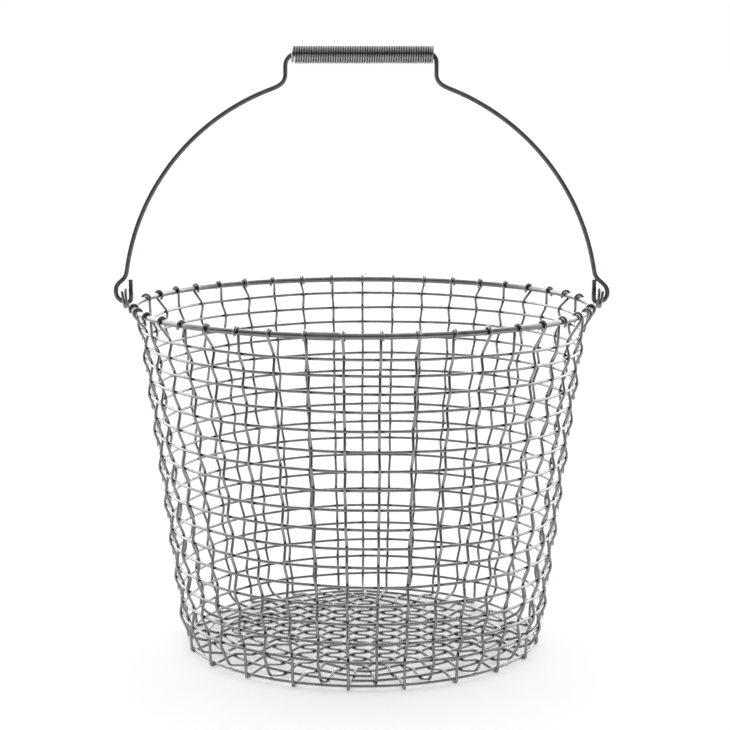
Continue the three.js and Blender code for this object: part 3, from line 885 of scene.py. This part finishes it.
@dataclass
class Bail:
    """The carrying wire, hooked into both eyes, with the coil on its top."""

    wire: float = 3.5
    rim_radius: float = 168.2
    rim_wire: float = 4.2
    hinge_height: float = 256.3
    stub_overlap: float = 0.8
    stub_length: float = 14.0
    stub_bend: float = 3.0
    foot_rise: float = 22.7
    leg_reach: float = 8.0
    coil_height: float = 181.3
    shoulder_out: float = 9.5
    shoulder_drop: float = 24.6
    shoulder_reach: float = 6.0
    neck_drop: float = 14.0
    neck_rise: float = 0.7
    crown_rise: float = 3.205
    right: BailHalf = BailHalf(7.0, 3.1, 172.0, 6.0, 51.9, 0.3)
    left: BailHalf = BailHalf(8.2, 6.0, 168.0, 9.0, 50.5, 3.9)
    chamfer: float = 0.3
    stub_steps: int = 6
    hook_steps: int = 10
    blend_steps: int = 12
    bow_steps: int = 40
    neck_steps: int = 8
    crown_steps: int = 12

    def neck_x(self, half: BailHalf) -> float:
        """Return how far a half's neck is from the middle, in mm."""
        return half.coil_end + half.coil_room + self.wire / 2

    def bend(self, centre: Vector, radius: float, start: float, end: float,
             steps: int) -> list[Vector]:
        """Return points on an arc in the bail's plane, angles counted from +X towards +Z.

        Args:
            centre: The arc's centre.
            radius: The arc's radius, in mm.
            start: The angle where it starts, in radians.
            end: The angle where it ends, in radians.
            steps: The number of stretches.

        Returns:
            The points from start to end, both included.
        """
        angles = [start + (end - start) * step / steps for step in range(steps + 1)]
        return [centre + Vector((math.cos(angle), 0, math.sin(angle))) * radius for angle in angles]

    def blend(self, start: Vector, start_way: Vector, end: Vector, end_way: Vector) -> list[Vector]:
        """Draw a smooth curve between two points.

        Args:
            start: The point before the curve.
            start_way: The way in which it sets out, which is longer for a stiffer start.
            end: The point after the curve.
            end_way: The way in which it arrives, in the same manner.

        Returns:
            Points on the curve, without start and end.
        """
        points = []
        for step in range(1, self.blend_steps):
            share = step / self.blend_steps
            back = 1 - share
            point = start * back ** 3 + (start + start_way) * 3 * back ** 2 * share
            point += (end - end_way) * 3 * back * share ** 2 + end * share ** 3
            points.append(point)
        return points

    def bow(self, half: BailHalf) -> list[Vector]:
        """Draw the long bow of a half.

        Args:
            half: The half's own sizes.

        Returns:
            Points on the bow, from its foot to its shoulder.
        """
        foot = Vector((self.rim_radius + half.foot_out, 0, self.foot_rise))
        shoulder_height = self.coil_height - self.shoulder_drop
        shoulder = Vector((self.neck_x(half) + self.shoulder_out, 0, shoulder_height))
        chord = shoulder - foot
        inward = Vector((-chord.z, 0, chord.x)).normalized()
        depth = math.sqrt(half.bow_radius ** 2 - chord.length_squared / 4)
        centre = foot + chord / 2 + inward * depth
        start = math.atan2(foot.z - centre.z, foot.x - centre.x)
        end = math.atan2(shoulder.z - centre.z, shoulder.x - centre.x)
        return self.bend(centre, half.bow_radius, start, end, self.bow_steps)

    def half(self, half: BailHalf) -> list[Vector]:
        """Draw half of the bail, on the +X side.

        Args:
            half: The half's own sizes.

        Returns:
            Points from the cut end in the eye to the end of the neck's bend.
        """
        stub_x = self.rim_radius + self.rim_wire / 2 + self.wire / 2 - self.stub_overlap
        hook_x = stub_x + self.stub_bend
        neck_x = self.neck_x(half)
        right_angle = math.pi / 2
        points = [Vector((stub_x, 0, self.stub_bend + self.stub_length))]
        points += self.bend(Vector((hook_x, 0, self.stub_bend)), self.stub_bend, 2 * right_angle,
                            3 * right_angle, self.stub_steps)
        points += self.bend(Vector((hook_x, 0, half.hook_bend)), half.hook_bend, 3 * right_angle,
                            4 * right_angle, self.hook_steps)[1:]
        bow = self.bow(half)
        bow_start = (bow[1] - bow[0]).normalized() * self.leg_reach
        points += self.blend(points[-1], UP * self.leg_reach, bow[0], bow_start)
        points += bow
        bow_end = (bow[-1] - bow[-2]).normalized() * self.shoulder_reach
        neck = Vector((neck_x, 0, self.coil_height - self.neck_drop))
        points += self.blend(bow[-1], bow_end, neck, UP * self.shoulder_reach)
        points.append(neck)
        bend_height = self.coil_height + self.neck_rise - half.neck_bend
        corner = Vector((neck_x - half.neck_bend, 0, bend_height))
        return points + self.bend(corner, half.neck_bend, 0.0, right_angle, self.neck_steps)

    def build(self) -> None:
        """Make the bail, which rises a little between its necks so that the coil hangs on it."""
        right = self.half(self.right)
        left = [Vector((-point.x, 0, point.z)) for point in reversed(self.half(self.left))]
        crown = []
        for step in range(1, self.crown_steps):
            share = step / self.crown_steps
            rise = (self.crown_rise - self.neck_rise) * math.sin(math.pi * share)
            crown.append(right[-1].lerp(left[0], share) + UP * rise)
        lift = UP * self.hinge_height
        line = [Bend(point + lift) for point in right + crown + left]
        wire = RoundWire("bail_wire_round", line, self.wire, THICK_SIDES, chamfer=self.chamfer)
        wire.place(BAIL_STEEL, Body.BAIL, "bail_wire")


@dataclass
class Grip:
    """The close-wound coil that turns on the bail."""

    wire: float = 1.72
    diameter: float = 14.0
    turns: int = 57
    steps: int = 24
    sides: int = 8
    start_turns: float = -0.42
    start_opens: float = 0.2    # the turn before which it opens
    start_opening: float = 0.7
    end_opens: float = 0.7      # the turns at its end that open
    end_opening: float = 0.25
    # how dark the painted shade in the grooves between the turns is
    groove_shade: float = 0.75        # how dark the grooves between the turns are

    def build(self) -> None:
        """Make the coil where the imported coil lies, a little open at both ends."""
        low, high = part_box("grip_coil")
        middle = (Vector(low) + Vector(high)) / (2 * MM)
        length = (high[0] - low[0]) / MM - self.wire
        radius = (self.diameter - self.wire) / 2
        line = []
        for step in range(round(self.start_turns * self.steps), self.turns * self.steps + 1):
            turn = step / self.steps
            outward = Vector((0, math.sin(2 * math.pi * turn), math.cos(2 * math.pi * turn)))
            along = length * (turn / self.turns - 0.5)
            along += self.end_opening * max(0.0, turn - self.turns + self.end_opens)
            along -= self.start_opening * max(0.0, self.start_opens - turn)
            place = middle + outward * radius + Vector((along, 0, 0))
            # painted shade on the side of each turn that faces the next
            line.append(Bend(place, Vector((self.groove_shade, 0, 0))))
        wire = RoundWire("grip_coil_round", line, self.wire, self.sides)
        wire.place(COIL_STEEL, Body.GRIP, "grip_coil")


@dataclass
class Studio:
    """White floor and surroundings, with the camera at the photograph's place.

    Each reach is where a change of the floor or the room begins and ends: in metres on the floor,
    and as a part of the unit direction in the room.
    """

    camera_place: tuple[float, float, float] = (1.9, -1492.0, 442.0)
    pitch: float = 8.87
    focal: float = 100.1
    floor: str = "#fafafa"
    floor_size: float = 40.0
    floor_glow: float = 0.3
    far_glow: float = 0.6
    far_reach: tuple[float, float] = (0.1, 1.6)
    near_dim: float = 0.5
    near_reach: tuple[float, float] = (-0.75, -0.4)
    front: float = 0.04
    back: float = 2.6
    back_reach: tuple[float, float] = (-0.25, 0.65)
    high_share: float = 0.2
    high_reach: tuple[float, float] = (0.4, 0.8)
    top: float = 0.5
    top_reach: tuple[float, float] = (0.1, 1.0)

    def camera(self) -> None:
        """Place the camera."""
        data = bpy.data.cameras.new("camera")
        data.lens = self.focal
        data.sensor_width = 36.0
        data.sensor_fit = "HORIZONTAL"
        data.clip_end = 100.0
        camera = bpy.data.objects.new("camera", data)
        bpy.context.scene.collection.objects.link(camera)
        camera.location = Vector(self.camera_place) * MM
        camera.rotation_euler = (math.radians(90 - self.pitch), 0.0, 0.0)
        bpy.context.scene.camera = camera

    def ground(self) -> None:
        """Lay a matt white floor that keeps the basket's shadow.

        The camera sees it a little brighter, and metal sees its far part brighter and its near
        part darker, as the surroundings are.
        """
        size = self.floor_size
        mesh = bpy.data.meshes.new("floor")
        corners = [(-size, -size, 0), (size, -size, 0), (size, size, 0), (-size, size, 0)]
        mesh.from_pydata(corners, [], [(0, 1, 2, 3)])
        floor = bpy.data.objects.new("floor", mesh)
        bpy.context.scene.collection.objects.link(floor)
        material = bpy.data.materials.new("matt white floor")
        material.use_nodes = True
        tree = material.node_tree
        tree.nodes.remove(tree.nodes["Principled BSDF"])
        paint = add_node(tree, "ShaderNodeBsdfDiffuse", {"Color": linear(self.floor)})
        ray = add_node(tree, "ShaderNodeLightPath")
        place = add_node(tree, "ShaderNodeTexCoord")
        axes = add_node(tree, "ShaderNodeSeparateXYZ", links={"Vector": (place, "Object")})
        far = add_node(tree, "ShaderNodeMapRange", {
            "From Min": self.far_reach[0], "From Max": self.far_reach[1], "To Max": self.far_glow,
        }, {"Value": (axes, "Y")}, interpolation_type="SMOOTHSTEP")
        mirrored = add_node(tree, "ShaderNodeMath", links={
            0: (ray, "Is Glossy Ray"), 1: (far, "Result"),
        }, operation="MULTIPLY")
        level = add_node(tree, "ShaderNodeMath", {1: self.floor_glow}, {
            0: (ray, "Is Camera Ray"), 2: (mirrored, "Value"),
        }, operation="MULTIPLY_ADD")
        glow = add_node(tree, "ShaderNodeEmission", links={"Strength": (level, "Value")})
        both = add_node(tree, "ShaderNodeAddShader", links={0: (paint, "BSDF"), 1: (glow, "Emission")})
        near = add_node(tree, "ShaderNodeMapRange", {
            "From Min": self.near_reach[0], "From Max": self.near_reach[1],
            "To Min": self.near_dim, "To Max": 0.0,
        }, {"Value": (axes, "Y")}, interpolation_type="SMOOTHSTEP")
        dim = add_node(tree, "ShaderNodeMath", links={
            0: (ray, "Is Glossy Ray"), 1: (near, "Result"),
        }, operation="MULTIPLY")
        seen = add_node(tree, "ShaderNodeMixShader", links={0: (dim, "Value"), 1: (both, "Shader")})
        tree.links.new(seen.outputs["Shader"], tree.nodes["Material Output"].inputs["Surface"])
        mesh.materials.append(material)

    def world(self) -> None:
        """Light the basket from a white room that is bright behind it and dark in front.

        High up behind, the room is darker too, and its ceiling adds a little light of its own.
        """
        world = bpy.data.worlds.new("white room")
        bpy.context.scene.world = world
        world.use_nodes = True
        tree = world.node_tree
        tree.nodes.clear()
        place = add_node(tree, "ShaderNodeTexCoord")
        axes = add_node(tree, "ShaderNodeSeparateXYZ", links={"Vector": (place, "Generated")})
        wall = add_node(tree, "ShaderNodeMapRange", {
            "From Min": self.back_reach[0], "From Max": self.back_reach[1],
            "To Min": self.front, "To Max": self.back,
        }, {"Value": (axes, "Y")}, interpolation_type="SMOOTHSTEP")
        low = add_node(tree, "ShaderNodeMapRange", {
            "From Min": self.high_reach[0], "From Max": self.high_reach[1],
            "To Min": 1.0, "To Max": self.high_share,
        }, {"Value": (axes, "Z")}, interpolation_type="SMOOTHSTEP")
        ceiling = add_node(tree, "ShaderNodeMapRange", {
            "From Min": self.top_reach[0], "From Max": self.top_reach[1], "To Max": self.top,
        }, {"Value": (axes, "Z")}, interpolation_type="SMOOTHSTEP")
        room = add_node(tree, "ShaderNodeMath", links={
            0: (wall, "Result"), 1: (low, "Result"), 2: (ceiling, "Result"),
        }, operation="MULTIPLY_ADD")
        ray = add_node(tree, "ShaderNodeLightPath")
        level = add_node(tree, "ShaderNodeMix", {"B": 1.0}, {
            "Factor": (ray, "Is Camera Ray"), "A": (room, "Value"),
        })
        back = add_node(tree, "ShaderNodeBackground", {"Color": linear("#ffffff")},
                        {"Strength": (level, "Result")})
        output = add_node(tree, "ShaderNodeOutputWorld")
        tree.links.new(back.outputs["Background"], output.inputs["Surface"])

    def build(self) -> None:
        """Set the stage."""
        self.camera()
        self.ground()
        self.world()
        bpy.context.scene.view_settings.view_transform = "Standard"


def main() -> None:
    """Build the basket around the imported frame."""
    logging.basicConfig(level=logging.INFO, format="%(message)s")
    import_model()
    Studio().build()
    Basket().build()
    Bail().build()
    Grip().build()


if __name__ == "__main__":
    main()
